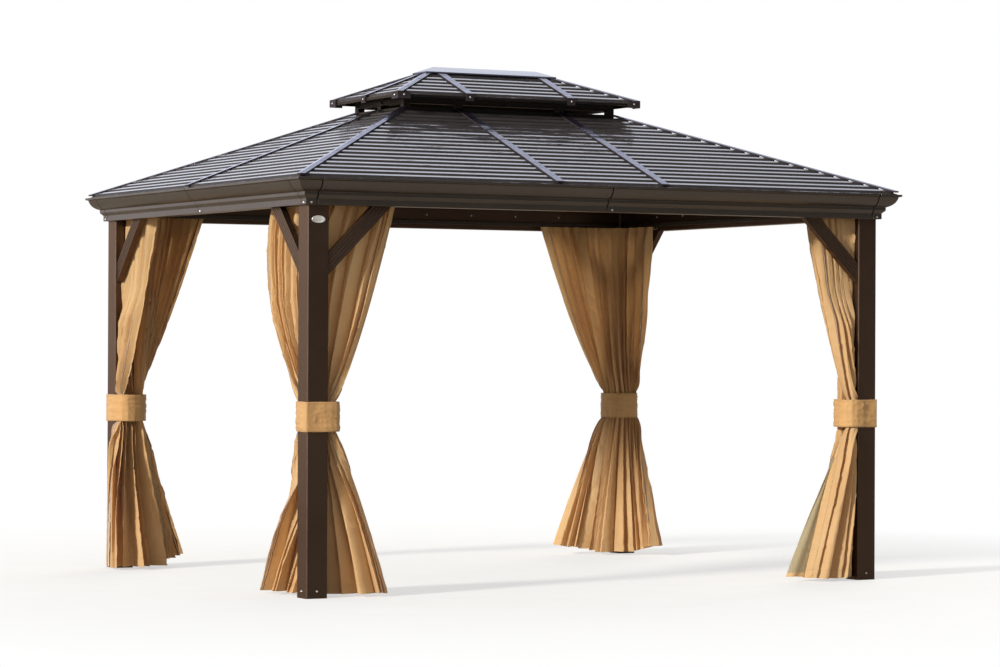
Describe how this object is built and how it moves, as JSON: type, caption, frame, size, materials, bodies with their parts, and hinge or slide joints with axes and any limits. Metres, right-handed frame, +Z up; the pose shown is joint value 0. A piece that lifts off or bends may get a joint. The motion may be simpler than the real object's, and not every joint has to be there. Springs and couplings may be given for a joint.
{
  "type": "hardtop gazebo",
  "caption": "Open-sided garden gazebo with square metal posts, knee braces, a moulded eave cornice, a ribbed hip roof with a raised vent roof, and curtains tied back at the posts.",
  "frame": {"origin": "on the ground under the middle of the roof", "axes": "+X along the long side, -Y towards the front, +Z up"},
  "size_m": [3.612, 2.91, 2.8069],
  "materials": {
    "frame": "satin dark brown powder coat",
    "cornice": "satin dark brown powder coat",
    "roof_sheet": "semi-gloss dark brown coated steel",
    "roof_strip": "semi-gloss brown coated steel",
    "curtain_cloth": "woven polyester",
    "tieback_cloth": "woven polyester, hemmed",
    "steel_foot": "zinc plated"
  },
  "bodies": {
    "root": {"beam_back": "frame", "beam_front": "frame", "beam_left": "frame", "beam_right": "frame", "braces_back_left": "frame", "braces_back_right": "frame", "braces_front_left": "frame", "braces_front_right": "frame", "curtain_back_left": "curtain_cloth", "curtain_back_right": "curtain_cloth", "curtain_front_left": "curtain_cloth", "curtain_front_right": "curtain_cloth", "curtain_rails": "frame", "fascia_back": "cornice", "fascia_corners": "cornice", "fascia_front": "cornice", "fascia_left": "cornice", "fascia_right": "cornice", "hip_caps": "roof_strip", "post_back_left": "frame", "post_back_right": "frame", "post_feet": "steel_foot", "post_front_left": "frame", "post_front_right": "frame", "ridge_beam": "frame", "ridge_cap": "roof_strip", "roof_rafters": "frame", "roof_sheets_back": "roof_sheet", "roof_sheets_front": "roof_sheet", "roof_sheets_left": "roof_sheet", "roof_sheets_right": "roof_sheet", "seam_strips": "roof_strip", "tieback_back_left": "tieback_cloth", "tieback_back_right": "tieback_cloth", "tieback_front_left": "tieback_cloth", "tieback_front_right": "tieback_cloth", "upper_eave_trim": "frame", "upper_hip_caps": "roof_strip", "upper_rafters": "frame", "upper_ring": "frame", "upper_seam_strips": "roof_strip", "upper_sheets_back": "roof_sheet", "upper_sheets_front": "roof_sheet", "upper_sheets_left": "roof_sheet", "upper_sheets_right": "roof_sheet", "vent_curb": "frame", "vent_uprights": "frame"}
  },
  "joints": []
}
